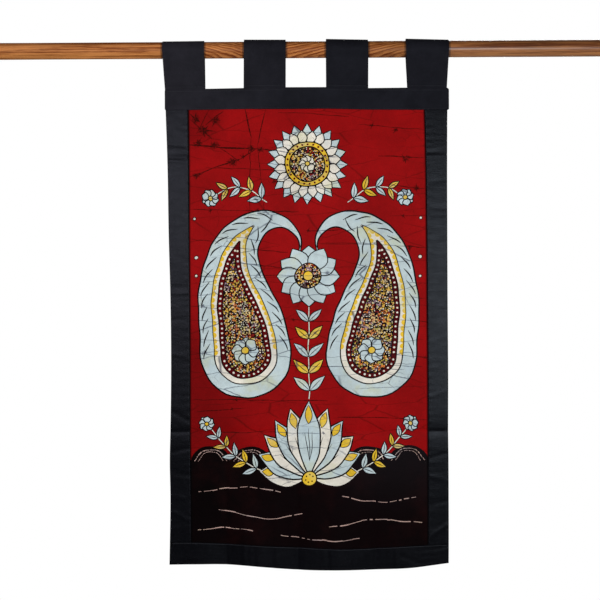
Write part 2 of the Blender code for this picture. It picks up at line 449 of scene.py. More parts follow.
def crease_depth(across, height):
    """The small creases together. Each fades out over the last part of its line."""
    depth = 0.0
    for x1, z1, x2, z2, deep, half_width in np.array(CREASES) * MM:
        length = math.hypot(x2 - x1, z2 - z1)
        cos, sin = (x2 - x1) / length, (z2 - z1) / length
        run = (across - x1) * cos + (height - z1) * sin
        off = (height - z1) * cos - (across - x1) * sin
        fade_at = 0.18 * length
        ends = np.clip(run / fade_at + 0.6, 0, 1) * np.clip((length - run) / fade_at + 0.6, 0, 1)
        depth = depth + deep * ends * ridge(off, half_width)
    return depth


def pucker_depth(across, height):
    """Fine waves that the stitching draws up along the two upright seams and the bottom seam."""
    _, left_seam, right_seam, _ = outline_at(height)
    wave = np.sin(across * 380 + 2.4 * np.sin(across * 31))
    depth = HEM_PUCKER * wave * np.exp(-np.abs(height - HEM_SEAM) / HEM_PUCKER_REACH)
    for seam, phase in ((left_seam, 0.0), (right_seam, 2.1)):
        wave = np.sin(height * 410 + phase + 2.2 * np.sin(height * 37 + phase))
        depth = depth + SIDE_PUCKER * wave * np.exp(-np.abs(across - seam) / SIDE_PUCKER_REACH)
    return depth


def depth_at(across, height):
    """How far the middle of the cloth lies behind the plane below the pole's axis."""
    depth = read(PACKING_FOLDS, height, np.interp)[0]
    left, _, _, right = outline_at(height)
    share = (across - left) / (right - left)
    for fold, _, at_left, at_right, half_width in np.array(PACKING_FOLDS) * MM:
        depth = depth + between(at_left, at_right, share) * np.exp(-np.abs(height - fold) / half_width)
    fade = ramp(height, HEM + FLUTE_HEIGHT, HEM)
    for place, flute, half_width in np.array(HEM_FLUTES) * MM:
        depth = depth + fade * flute * ridge(across - place, half_width)
    calm = ramp(height, PANEL_TOP + 0.002, PANEL_TOP - 0.020)
    return depth + calm * (crease_depth(across, height) + pucker_depth(across, height))


def hung(across, height, drop_share=0.0):
    """Middle of the hanging cloth at this place. The lower edge's sag comes in over the lowest part."""
    drop = between(*read(SAG, across), drop_share) * ramp(height, SAG_BEGINS, HEM_SEAM)
    drop = drop + (PANEL_TOP - heading_at(across)[1]) * ramp(height, TOP_SEAM_FADES, PANEL_TOP)
    return grid(across, depth_at(across, height), height - drop)


# Meshes


def grid(x, y, z):
    """Points from three coordinates, each a number, a row, a column or a grid."""
    return np.stack(np.broadcast_arrays(x, y, z), axis=-1)


def running(line):
    """How far along a line each of its points lies."""
    return np.concatenate([[0], np.cumsum(np.linalg.norm(np.diff(line, axis=0), axis=1))])


def points_at(line, at):
    """The points this far along a line."""
    return np.column_stack([np.interp(at, running(line), values) for values in np.transpose(line)])


def new_object(name, data):
    made = bpy.data.objects.new(name, data)
    bpy.context.scene.collection.objects.link(made)
    return made


def make_piece(name, points, faces, material, node=None):
    """A smooth mesh that rides on the hanging's one body, in the place of a CAD node if one is named."""
    mesh = bpy.data.meshes.new(name)
    mesh.from_pydata(np.reshape(points, (-1, 3)).tolist(), [], faces)
    mesh.update()
    mesh.shade_smooth()
    mesh.materials.append(material)
    piece = new_object(name, mesh)
    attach(piece, "root")
    if node:
        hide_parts(node)
    return piece


def store(attributes, name, kind, domain, values):
    """Keeps values on a mesh, one for each point or face corner, for its material to read."""
    field = {"FLOAT": "value", "FLOAT_VECTOR": "vector", "FLOAT_COLOR": "color"}[kind]
    data = attributes.new(name, kind, domain).data
    data.foreach_set(field, np.ascontiguousarray(values, np.float32).ravel())


def quads_of(index):
    """The four-sided faces between the points of a grid."""
    corners = (index[:-1, :-1], index[:-1, 1:], index[1:, 1:], index[1:, :-1])
    return np.stack(corners, axis=-1).reshape(-1, 4)


def closed_sheet(name, middle, thickness, flat, material, node):
    """A closed cloth from a grid of points on its middle surface.

    thickness is a number or a grid, and flat is each point's place on the flat cloth.
    """
    normal = np.cross(np.gradient(middle, axis=1), np.gradient(middle, axis=0))
    normal /= np.linalg.norm(normal, axis=2, keepdims=True)
    half = normal * np.asarray(thickness)[..., None] / 2
    index = np.arange(middle[..., 0].size).reshape(middle.shape[:2])
    quads = quads_of(index)
    far = index.size
    rim = np.concatenate([index[0, :], index[1:, -1], index[-1, -2::-1], index[-2::-1, 0]])
    a, b = rim[:-1], rim[1:]
    faces = np.concatenate([quads, quads[:, ::-1] + far, np.stack([b, a, a + far, b + far], axis=1)])
    piece = make_piece(name, [middle + half, middle - half], faces.tolist(), material, node)
    store(piece.data.attributes, "cloth", "FLOAT_VECTOR", "POINT", [flat, flat])
    return piece


def stations(length, step, close=()):
    """Places from 0 to length, evenly spaced, with extra ones this close to both ends."""
    middle = np.linspace(0, length, round(length / step) + 1)[1:-1]
    close = np.array(close)
    return np.unique(np.round(np.concatenate([[0, length], close, length - close, middle]), 6))


def folded_section(width, spread, step):
    """A doubled strip's section: out along its front layer, round the fold and back along the other.

    Gives the distance out from the seam, the offset to the back, and the place on the flat strip.
    """
    leg = np.linspace(0, width - spread, round(width / step) + 1)
    leg = np.insert(leg, -1, width - spread - FOLD_SUPPORT)
    turn = np.linspace(-math.pi / 2, math.pi / 2, 9)[1:-1]
    out = np.concatenate([leg, width - spread + spread * np.cos(turn), leg[::-1]])
    back = np.concatenate([-np.ones_like(leg), np.sin(turn), np.ones_like(leg)]) * spread
    return out, back, running(np.column_stack([out, back]))


def side_strip(name, side, material, node):
    """A doubled strip down one side. side is -1 for the left and 1 for the right."""
    heights = (PANEL_TOP + LAP - stations(PANEL_TOP - HEM_SEAM + 2 * LAP, SIDE_STEP))[:, None]
    out, back, run = folded_section(SIDE_WIDTH, STRIP_SPREAD, SIDE_STEP)
    left, left_seam, right_seam, right = outline_at(heights)
    seam, edge = (left_seam, left) if side < 0 else (right_seam, right)
    middle = hung(between(seam, edge, out / SIDE_WIDTH), heights)
    squeeze = 1 - 0.25 * np.exp(-np.minimum(heights - heights[-1], heights[0] - heights) / 0.010)
    groove = GROOVE * ridge(out - SEAM_ROW, GROOVE_HALF_WIDTH)
    if side > 0:
        groove += 0.5 * GROOVE * ridge(SIDE_WIDTH - out - EDGE_ROW, GROOVE_HALF_WIDTH)
    middle[:, :, 1] += back * squeeze - np.sign(back) * groove
    flat = grid(run + (RIGHT_START if side > 0 else 0.0), heights, 0)
    if side < 0:
        middle, flat = middle[:, ::-1], flat[:, ::-1]
    return closed_sheet(name, middle, PLY, flat, material, node)


def bottom_strip(material):
    """The doubled strip along the bottom, folded at its lower edge."""
    out, back, run = folded_section(HEM_SEAM - HEM, BAND_SPREAD, BAND_STEP)
    shares = stations(1.0, END_STEP, END_STATIONS)[:, None]
    left, _, _, right = outline_at(HEM_SEAM - out)
    middle = hung(between(left, right, shares), HEM_SEAM - out, out / (HEM_SEAM - HEM))
    middle[:, :, 1] += back * rounded(np.minimum(shares, 1 - shares) * HEM_LENGTH, BAND_SPREAD)
    flat = grid(shares * HEM_LENGTH, run + HEM_START, 0)
    return closed_sheet("hem_strip", middle, PLY, flat, material, "border_bottom")


def heading(material):
    """The doubled band across the top, folded at its upper edge and a little rounded at its corners."""
    out, back, run = folded_section(BAND_WIDTH, BAND_SPREAD, BAND_STEP)
    across = between(BAND_LEFT, BAND_RIGHT, stations(1.0, END_STEP, END_STATIONS)[:, None])
    top, seam = heading_at(across)
    corner = np.minimum(across - BAND_LEFT, BAND_RIGHT - across)
    round_off = BAND_CORNER * (1 - dome(corner, BAND_CORNER))
    wave = 0.0004 * np.sin(across * 61) + 0.0002 * np.sin(across * 143 + 1)
    y = back * rounded(corner, BAND_SPREAD) + wave * np.sin(np.pi * out / BAND_WIDTH)
    middle = grid(across, y, between(seam + 0.6 * round_off, top - round_off, out / BAND_WIDTH))
    flat = grid(across, run + BAND_START, 0)
    return closed_sheet("heading_cloth", middle[:, ::-1], PLY, flat[:, ::-1], material, "heading_band")


def tab_path(top, rise):
    """The strap's middle line in the YZ plane, from its front end over the pole to its back end.

    top is the height of the heading's top edge, and rise is how far the pressed fold stands off the pole.
    """
    radius = POLE_RADIUS + TAB_CLEARANCE + TAB_PLY / 2
    end_y = (TAB_PLY + TAB_LEG_GAP) / 2
    sewn = top + TAB_SEWN_HEIGHT
    tangent = math.pi / 2 - math.acos(radius / math.hypot(end_y, sewn)) - math.atan2(end_y, -sewn)
    arc = np.linspace(-tangent, math.pi + tangent, 60)
    reach = radius + rise * np.clip(1 - np.abs(arc - math.pi / 2) / TAB_FOLD_SPAN, 0, 1) ** 2
    over = np.column_stack([-reach * np.cos(arc), reach * np.sin(arc)])
    foot = top - TAB_TUCK
    line = np.vstack([(-end_y, foot), (-end_y, sewn), over, (end_y, sewn), (end_y, foot)])
    return points_at(line, np.linspace(0, running(line)[-1], TAB_PATH_POINTS))


def tab_strap(number, row, material):
    """One doubled strap over the pole, a little slack and uneven."""
    pole_left, pole_right, foot_left, foot_right, rise_left, rise_right = np.array(row) * MM
    width = pole_right - pole_left
    shares = stations(width, TAB_STEP, TAB_STATIONS) / width
    tops = heading_at(between(foot_left, foot_right, shares))[0]
    rises = between(rise_left, rise_right, shares)
    y, z = np.stack([tab_path(top, rise) for top, rise in zip(tops, rises)], axis=1).transpose(2, 0, 1)
    at_foot = np.clip(z / tops, 0, 1)
    across = between(between(pole_left, foot_left, at_foot), between(pole_right, foot_right, at_foot), shares)
    free = np.sin(np.pi * np.clip((z - TAB_FREE_FROM) / (tops - TAB_FREE_FROM), 0, 1))
    wave = 0.0006 * np.sin(shares * 5.2 + number * 1.7) + 0.0003 * np.sin(shares * 13 + number)
    lift = free * (wave + TAB_SLACK) * np.where(y < 0, -1.0, 1.0)
    groove = TAB_GROOVE * ridge(z - tops - TAB_SEWN_HEIGHT, TAB_GROOVE_HALF_WIDTH) * np.sign(y)
    tucked = 1 - 0.35 * np.clip((tops + 0.004 - z) / TAB_TUCK, 0, 1)
    thickness = TAB_PLY * rounded(np.minimum(shares, 1 - shares) * width, TAB_RIM) * tucked
    flat = grid(across, np.linspace(0, TAB_CUT[1], TAB_PATH_POINTS)[:, None] + TAB_START, 0)
    middle = grid(across, y + lift - groove, z)
    return closed_sheet(f"tab_strap_{number}", middle, thickness, flat, material, f"tab_{number}")


def pole_wood(material):
    """The round pole with eased ends, and the slight unevenness of a turned and sanded rod."""
    arc = np.linspace(0, math.pi / 2, 5)
    end_x = POLE_HALF_LENGTH - POLE_EASING + POLE_EASING * np.sin(arc)
    end_radius = POLE_RADIUS - POLE_EASING + POLE_EASING * np.cos(arc)
    straight = np.linspace(-end_x[0], end_x[0], 140)[1:-1]
    x = np.concatenate([-end_x[::-1], straight, end_x])[:, None]
    radius = np.concatenate([end_radius[::-1], np.full(len(straight), POLE_RADIUS), end_radius])[:, None]
    angles = np.linspace(0, 2 * math.pi, POLE_SIDES, endpoint=False)
    radius = radius + POLE_WAVER * np.sin(x * 21) * np.cos(2 * angles)
    points = grid(x, radius * np.cos(angles), radius * np.sin(angles))
    index = np.arange(len(x) * POLE_SIDES).reshape(-1, POLE_SIDES)
    quads = quads_of(np.column_stack([index, index[:, 0]]))
    faces = [*quads.tolist(), index[0][::-1].tolist(), index[-1].tolist()]
    piece = make_piece("pole_wood", points, faces, material, "pole")
    piece.data.set_sharp_from_angle(angle=math.radians(60))
    return piece


# Sewing


def stitches(line, facing):
    """Sewing thread along a line of points: short bowed stitches that dive into the cloth at both ends."""
    starts = np.arange(ROW_END, running(line)[-1] - STITCH - ROW_END, STITCH + STITCH_GAP)
    places = points_at(line, np.ravel(starts[:, None] + STITCH * BOW_SHARES)).reshape(-1, 4, 1, 3)
    along = places[:, -1:] - places[:, :1]
    along /= np.linalg.norm(along, axis=3, keepdims=True)
    side = 0.5 * RING[:, :1] * np.cross(along, facing)
    up = (BOW_LIFTS[:, None, None] + 0.5 * RING[:, 1:]) * facing
    return places + THREAD * (side + up)


def sewing(name, rows, material):
    """The stitches of some rows as one piece. A row is a line and how far the cloth's faces lie from it."""
    made = [stitches(line + depth * face, face) for line, depth in rows for face in (FRONT, -FRONT)]
    points = np.concatenate(made).reshape(-1, 3)
    pairs = [(4 * k + j, 4 * k + (j + 1) % 4) for k in range(3) for j in range(4)]
    one = [*((a, b, b + 4, a + 4) for a, b in pairs), (3, 2, 1, 0), (12, 13, 14, 15)]
    faces = np.arange(0, len(points), 16)[:, None, None] + np.array(one)
    return make_piece(name, points, faces.reshape(-1, 4).tolist(), material)


def side_rows():
    heights = np.linspace(PANEL_TOP - 0.001, HEM_SEAM + 0.001, 300)
    _, left_seam, right_seam, right = outline_at(heights)
    lines = (left_seam - SEAM_ROW, right_seam + SEAM_ROW, right - EDGE_ROW)
    return [(hung(across, heights), STRIP_SPREAD + PLY / 2 - GROOVE / 2) for across in lines]


def bottom_rows():
    left, _, _, right = outline_at(HEM_SEAM)
    across = np.linspace(left + 0.002, right - 0.002, 260)
    return [(hung(across, HEM_SEAM - SEAM_ROW, SEAM_ROW / (HEM_SEAM - HEM)), BAND_SPREAD + PLY / 2)]


def heading_rows():
    """Two rows along the heading, one down its right end, and one across the foot of each tab."""
    across = np.linspace(BAND_LEFT + 0.003, BAND_RIGHT - 0.003, 260)
    top, seam = heading_at(across)
    down = np.linspace(top[-1] - 0.006, seam[-1] + 0.004, 30)
    places = ((across, seam + SEAM_ROW), (across, top - TOP_ROW), (BAND_RIGHT - END_ROW, down))
    rows = [(grid(x, 0, z), BAND_SPREAD + PLY / 2) for x, z in places]
    for _, _, left, right, _, _ in np.array(TABS) * MM:
        across = np.linspace(left + 0.001, right - 0.001, 40)
        rows.append((grid(across, 0, heading_at(across)[0] + TAB_SEWN_HEIGHT), 1.5 * TAB_PLY))
    return rows


# The picture's outlines. Each is painted over those before it.

painted = []


def paint(points, dye):
    painted.append((np.asarray(points, float), dye))


def circle(centre, radius, count):
    angles = np.linspace(0, 2 * math.pi, count, endpoint=False)
    return np.column_stack([centre[0] + radius * np.cos(angles), centre[1] + radius * np.sin(angles)])


def side_of(points, closed=False):
    """The unit direction to the right of a line's course at each of its points."""
    if closed:
        along = np.roll(points, -1, axis=0) - np.roll(points, 1, axis=0)
    else:
        along = np.gradient(points, axis=0)
    along = along / (np.linalg.norm(along, axis=1)[:, None] + 1e-9)
    return np.column_stack([along[:, 1], -along[:, 0]])


def grown(points, by):
    """A closed outline, this much larger all round."""
    x, y = points[:, 0], points[:, 1]
    if np.dot(x, np.roll(y, -1)) < np.dot(y, np.roll(x, -1)):
        points = points[::-1]
    return points + side_of(points, closed=True) * by


def outlined(points, dye, line=INK_WIDTH, ink="black"):
    paint(grown(points, line / 2), ink)
    paint(grown(points, -line / 2), dye)


def spline(knots, per_span=8):
    """A smooth line through the knots."""
    knots = np.asarray(knots, float)
    p = np.vstack([2 * knots[0] - knots[1], knots, 2 * knots[-1] - knots[-2]])
    t = np.linspace(0, 1, per_span, endpoint=False)[:, None]
    spans = [
        0.5 * (2 * b + (c - a) * t + (2 * a - 5 * b + 4 * c - d) * t * t + (3 * b - a - 3 * c + d) * t**3)
        for a, b, c, d in zip(p, p[1:], p[2:], p[3:])
    ]
    return np.vstack([*spans, knots[-1:]])


def brush(points, width, taper=True):
    """The outline of a brush line. With taper it thins out towards both ends."""
    t = np.linspace(0, 1, len(points))
    swell = np.sin(np.pi * np.clip(t, 0.04, 0.96)) ** 0.5 if taper else np.ones_like(t)
    side = side_of(points) * (swell * width / 2)[:, None]
    return np.vstack([points + side, (points - side)[::-1]])


def stroke(points, width, dye="black", taper=True):
    paint(brush(points, width, taper), dye)


def directions(angle):
    """Unit vectors along an angle in degrees and across it."""
    a = math.radians(angle)
    return np.array([math.cos(a), math.sin(a)]), np.array([-math.sin(a), math.cos(a)])


def mirrored(places, mirror):
    return [(mirror * x, y) for x, y in places]


def petal(base, angle, length, width, fullness, count=10):
    """A pointed petal or leaf whose foot is at base and whose tip points along angle."""
    t = np.linspace(0, 1, count)
    along, across = directions(angle)
    middle = base + np.outer(t * length, along)
    spread = np.outer(width / 2 * np.sin(np.pi * t**fullness), across)
    return np.vstack([middle - spread, (middle + spread)[-2:0:-1]])


def leaf(base, angle, length, dye):
    outlined(petal(base, angle, length, length * 0.40, 0.8), dye, 2.2)
    stroke(np.linspace(base, base + 0.78 * length * directions(angle)[0], 6), 1.6)


def flower(centre, radius, count, dye="pale", turn=90.0):
    width = radius * 2.4 * math.sin(math.pi / count)
    for k in range(count):
        outlined(petal(centre, turn + 360.0 * k / count, radius, width, 1.35), dye, 2.2)
    outlined(circle(centre, radius * 0.27, 14), "ochre", 2.2)


def spaced(points, spacing):
    """Points at an even spacing along a line, and the angle of the line's right-hand side there."""
    run = running(points)
    count = max(2, round(run[-1] / spacing))
    at = (np.arange(count) + 0.5) * run[-1] / count
    side = side_of(points)
    angle = np.unwrap(np.arctan2(side[:, 1], side[:, 0]))
    return points_at(points, at), np.degrees(np.interp(at, run, angle))


def dots(points, spacing, radius, dye):
    for place in spaced(points, spacing)[0]:
        paint(circle(place, radius, 10), dye)


def scallops(points, spacing, side):
    """Half-moons that stand on a line, on its right for side 1 and its left for side -1."""
    fan = np.linspace(-math.pi / 2, math.pi / 2, 9)
    for place, angle in zip(*spaced(points, spacing)):
        out, across = directions(angle if side > 0 else angle + 180)
        bow = np.outer(np.cos(fan) * 1.1, out) + np.outer(np.sin(fan), across)
        paint(place + spacing * 0.5 * bow, "ochre")


class Paisley:
    """A curled drop: a spine that winds up towards its tip, with a width that falls from bulb to tip."""

    def __init__(self, centre, bulb, length, course, turn, mirror):
        self.t = np.linspace(0, 1, 70)
        angle = np.radians(course + turn * self.t**2.2 - 22 * np.sin(np.pi * self.t))
        steps = np.array([np.cos(angle[:-1]), np.sin(angle[:-1])]) * length / (len(self.t) - 1)
        self.spine = np.column_stack([[0, 0], np.cumsum(steps, axis=1)]).T + centre
        self.spine[:, 0] *= mirror
        self.half = bulb * (0.5 + 0.5 * np.cos(np.pi * self.t**0.92)) ** 0.82
        self.side = side_of(self.spine) * mirror
        self.mirror = mirror

    def flank(self, inset, side, end=1.0):
        """One flank, from bulb to tip, this far inside the outline."""
        keep = (self.half > inset) & (self.t <= end)
        return self.spine[keep] + side * self.side[keep] * (self.half[keep] - inset)[:, None]

    def outline(self, inset):
        side = self.side[0]
        down = np.array([side[1], -side[0]]) * self.mirror
        fan = np.linspace(0, math.pi, 26)[1:-1]
        foot = (self.half[0] - inset) * (np.outer(np.cos(fan), -side) + np.outer(np.sin(fan), down))
        return np.vstack([self.flank(inset, 1), self.flank(inset, -1)[::-1], self.spine[0] + foot])


def draw_paisley(mirror):
    drop = Paisley(**PAISLEY, mirror=mirror)
    outlined(drop.outline(0), "pale", 3.2)
    for side in (-1, 1):
        for place, angle in zip(*spaced(drop.flank(14, side, 0.74), 27)):
            along, _ = directions(angle + 90)
            out = side * mirror * directions(angle)[0]
            bow = [place - 17 * along + 7 * out, place - 3 * along + 4 * out, place + 15 * along - 6 * out]
            stroke(spline(bow, 5), 2.8)
    outlined(drop.outline(29), "cream", 2.6)
    for side in (-1, 1):
        scallops(drop.flank(29.5, side, 0.68), 12.5, -side * mirror)
    outlined(drop.outline(42), "deep", 2.4)
    dots(drop.outline(47.5), 10.5, 2.2, "cream")
    outlined(drop.outline(53), "speckle", 2.2)
    flower(drop.spine[1], 29, 8)


def draw_lotus(foot):
    """A flower whose petals lean out to both sides, the lowest first, round one that stands upright."""
    for k, lean in enumerate(LOTUS_LEANS):
        for mirror in (1, -1) if lean else (1,):
            along, across = directions(90 - mirror * lean)
            length = 158 - 0.62 * lean
            outlined(petal(foot, 90 - mirror * lean, length, 50, 1.05, 14), "pale" if k % 2 else "cream", 3.0)
            tip = foot + along * length * 0.70
            outlined(petal(tip, 90 - mirror * lean, length * 0.24, 15, 0.9), "ochre", 1.6)
            for vein in (-1, 0, 1):
                line = [
                    foot + along * length * 0.22,
                    foot + along * length * 0.42 + across * vein * 6,
                    foot + along * length * (0.64 - 0.05 * abs(vein)) + across * vein * 8,
                ]
                stroke(spline(line, 4), 1.7)
    heart = np.subtract(foot, (0, 2))
    outlined(circle(heart, 15, 24), "ochre", 2.6)
    dots(circle(heart, 8, 20), 8, 1.6, "black")


def draw_rosette(centre, radius):
    count = 20
    for layer, reach, dye in ((0, 1.0, "pale"), (1, 0.84, "cream")):
        for k in range(count):
            angle = 360.0 * (k + 0.5 * layer) / count
            foot = centre + 0.5 * radius * directions(angle)[0]
            outlined(petal(foot, angle, radius * (reach - 0.5), radius * 0.235, 0.95), dye, 2.2)
    outlined(circle(centre, radius * 0.56, 44), "ochre", 2.6)
    ring = circle(centre, radius * 0.50, 40)
    dots(np.vstack([ring, ring[:1]]), 11.5, 2.3, "deep")
    outlined(circle(centre, radius * 0.44, 40), "speckle", 2.6)
    flower(centre, radius * 0.21, 8, "cream", 0)


def spray(knots, leaf_length, spacing, last=None):
    """A stem with a pair of leaves at each step, and a flower at its end if last gives its radius."""
    line = spline(knots)
    stroke(line, 3.4, "black", False)
    stroke(line, 1.9, "cream", False)
    places, angles = spaced(line, spacing)
    for k, (place, angle) in enumerate(zip(places, angles)):
        size = leaf_length * (1.0 - 0.30 * k / len(places))
        for side in (-1, 1):
            leaf(place, angle + 90 + side * 48, size, ("pale", "ochre")[k % 2])
    if last:
        flower(line[-1], last, 8, turn=angles[-1] + 90)


def broken_line(knots, width, rng):
    """A thin wax stroke that breaks up, as where the wax was nearly dry."""
    line = spline(knots, 16)
    k = 0
    while k < len(line) - 2:
        reach = int(rng.integers(1, 5))
        part = line[k : k + reach + 1]
        stroke(part + rng.normal(0, 0.35, 2), width * rng.uniform(0.45, 1.1), "wax", False)
        k += reach + int(rng.integers(0, 2))


def arch(middle, half, foot, rise, angles):
    return np.column_stack([middle + half * np.cos(angles), foot + rise * np.sin(angles)])


def draw_ground():
    """The dark lower field with its arched upper edge, and the wax strokes on it."""
    rng = np.random.default_rng(GROUND_SEED)
    half = PANEL_HALF_WIDTH / ARCHES
    wide = PANEL_HALF_WIDTH + 12
    middles = [(2 * k + 1) * half - PANEL_HALF_WIDTH for k in range(-1, ARCHES + 1)]
    fan = np.linspace(math.pi, 0, 14, endpoint=False)
    edge = np.vstack([arch(middle, half, ARCH_FOOT, ARCH_RISE, fan) for middle in middles])
    edge[:, 0] = np.clip(edge[:, 0], -wide, wide)
    paint([(-wide, -14), *edge, (wide, -14)], "dark")
    fan = math.pi * np.linspace(0.97, 0.03, 4)
    for middle in middles[1:-1]:
        for inset, width in ARCH_STROKES:
            knots = arch(middle, half - inset, ARCH_FOOT - 3, ARCH_RISE - inset * 0.55, fan)
            broken_line(knots, width, rng)
    for y, start, end, bow in RIPPLES:
        knots = [(start, y - bow), ((start + end) / 2, y + bow), (end, y - bow * 0.5)]
        broken_line(knots, RIPPLE_WIDTH, rng)


def wavered(points):
    """The slight waver of a line drawn by hand."""
    x, y = points[:, 0], points[:, 1]
    dx = 1.1 * np.sin(y / 23.0 + 1.3 * np.sin(x / 41.0)) + 0.7 * np.sin(y / 9.7 + x / 13.0)
    dy = 1.1 * np.sin(x / 21.0 + 1.7 * np.sin(y / 37.0)) + 0.7 * np.sin(x / 8.9 - y / 12.0)
    return points + np.column_stack([dx, dy])


def box_corners(low, high):
    return np.array([low, (high[0], low[1]), high, (low[0], high[1])], float)


def draw_picture():
    """The outlines of the whole picture and their dyes, in the order in which they are painted."""
    wide, high = PANEL_HALF_WIDTH + 20, PANEL_HEIGHT + 20
    paint(box_corners((-wide, -20), (wide, high)), "red")
    draw_ground()
    spray(STEM, leaf_length=46, spacing=36)
    draw_lotus(LOTUS_FOOT)
    for mirror in (1, -1):
        spray(mirrored(LOWER_SPRAY, mirror), leaf_length=32, spacing=26, last=17)
        draw_paisley(mirror)
        spray(mirrored(UPPER_SPRAY, mirror), leaf_length=34, spacing=26, last=19)
        for x, y, radius in WAX_DOTS:
            outlined(circle((mirror * x, y), radius, 14), "cream", 1.6)
    flower(BLOSSOM, radius=66, count=12)
    outlined(circle(BLOSSOM, 27, 30), "speckle", 2.6)
    outlined(circle(BLOSSOM, 10, 16), "ochre", 2.2)
    draw_rosette(ROSETTE, radius=86)
    return [(wavered(points), dye) for points, dye in painted]


def crack(start, angle, length, rng):
    """A crack in the wax: a fine line that runs nearly straight, with small kinks."""
    count = max(3, round(length / 13))
    along, across = directions(angle)
    sway = np.cumsum(rng.normal(0, 0.55, count)) + rng.normal(0, 0.35, count)
    return start + np.outer(np.linspace(0, length, count), along) + np.outer(sway - sway[0], across)


def ragged(place, radius, rng):
    """A closed outline round a place, about this far from it, but ragged."""
    return circle(place, radius, 11) + rng.normal(0, radius * 0.24, (11, 2))


def knot(place, size, rng):
    """A spot where the wax was crushed: a ragged blot with short cracks, the longest along one line."""
    outlines = [ragged(place, size * 0.27, rng)]
    turn = rng.uniform(0, 360)
    count = int(rng.integers(5, 8))
    for k in range(count):
        lean = 360 * k / count + rng.normal(0, 14)
        reach = 0.40 + 0.60 * abs(math.cos(math.radians(lean)))
        line = crack(place, turn + lean, size * reach * rng.uniform(0.5, 1.1), rng)
        half = np.linspace(1.0, 0.15, len(line))[:, None] * side_of(line) * size * 0.13
        outlines.append(np.vstack([line + half, (line - half)[::-1]]))
    return outlines


def long_crack(start, end, width, knots, rng):
    """A crack between two places whose width comes and goes, with small knots along it."""
    run = np.subtract(end, start)
    line = crack(start, math.degrees(math.atan2(run[1], run[0])), np.hypot(*run), rng)
    outlines = [brush(line[k : k + 6], width * rng.uniform(0.8, 1.4)) for k in range(0, len(line) - 2, 4)]
    for place in line[rng.uniform(size=len(line)) < knots]:
        outlines += knot(place, rng.uniform(6, 11), rng)
    return outlines


def draw_halos():
    """Where the dye crept under the wax around the crushed spots."""
    rng = np.random.default_rng(HALO_SEED)
    return [ragged((x, y), size * 0.50, rng) for x, y, size in CRUSHED_SPOTS]


def draw_cracks():
    """The larger cracks: those of the two tables, and some at random where the cloth was folded."""
    rng = np.random.default_rng(CRACK_SEED)
    outlines = []
    for x1, y1, x2, y2, width in FOLD_CRACKS:
        outlines += long_crack((x1, y1), (x2, y2), width, 0.05, rng)
    for x, y, size in CRUSHED_SPOTS:
        outlines += knot((x, y), size, rng)
    for _ in range(RANDOM_CRACKS):
        start = (rng.uniform(-250, 200), PANEL_HEIGHT * rng.uniform(0.22, 0.98))
        along, _ = directions(rng.normal(-2, 7))
        end = start + rng.uniform(60, 230) * along
        outlines += long_crack(start, end, rng.uniform(1.0, 1.8), 0.06, rng)
    return outlines


def inside(points, outline):
    """Which of the points lie within a closed outline."""
    near = np.flatnonzero(((points >= outline.min(0)) & (points <= outline.max(0))).all(axis=1))
    x, y = points[near].T
    found = np.zeros(len(near), bool)
    for (x1, y1), (x2, y2) in zip(np.roll(outline, 1, axis=0), outline):
        if y1 != y2:
            crosses = (y1 > y) != (y2 > y)
            found ^= crosses & (x < (x2 - x1) * (y - y1) / (y2 - y1) + x1)
    return near[found]


def painted_on(points, outlines):
    """The value at each point: that of the last outline round it, or 0."""
    found = np.zeros(len(points))
    for outline, value in outlines:
        found[inside(points, outline)] = value
    return found


def linear(colour):
    """A colour of 0 to 255 in sRGB as linear light."""
    c = np.asarray(colour, float) / 255
    return np.where(c <= 0.04045, c / 12.92, ((c + 0.055) / 1.055) ** 2.4)


def picture_mesh():
    """Flat triangles whose edges follow the picture: points in mm, triangles, and their dyes and cracks."""
    picture, cracks, halos = draw_picture(), draw_cracks(), draw_halos()
    drawn = [*(outline for outline, _ in picture[1:]), *cracks, *halos]
    low = np.array([-PANEL_HALF_WIDTH, 0.0]) - LAP / MM
    high = np.array([PANEL_HALF_WIDTH, PANEL_HEIGHT]) + LAP / MM
    width, height = high - low
    rows = np.linspace(low[1], high[1], round(height / MESH_STEP) + 1)
    places = np.linspace(low[0], high[0], round(width / MESH_STEP) + 1)
    filling = [(min(x + MESH_STEP / 2 * (k % 2), high[0]), y) for k, y in enumerate(rows) for x in places]
    filling += [(low[0], y) for y in rows]
    points, edges = [], []
    for part in [*(np.clip(outline, low, high) for outline in drawn), filling, box_corners(low, high)]:
        first, count = len(points), len(part)
        points += [Vector(p) for p in part]
        if part is not filling:
            edges += [(first + k, first + (k + 1) % count) for k in range(count)]
    made, _, faces, *_ = delaunay_2d_cdt(points, edges, [], 0, MERGE_DISTANCE)
    flat = np.array(made)
    triangles = np.array([f for f in faces if len(f) == 3])
    centres = flat[triangles].mean(axis=1)
    dyes = painted_on(centres, [(outline, list(DYES).index(dye)) for outline, dye in picture])
    cracked = [*((outline, HALO_STRENGTH) for outline in halos), *((outline, 1.0) for outline in cracks)]
    return flat, triangles, dyes.astype(int), painted_on(centres, cracked)


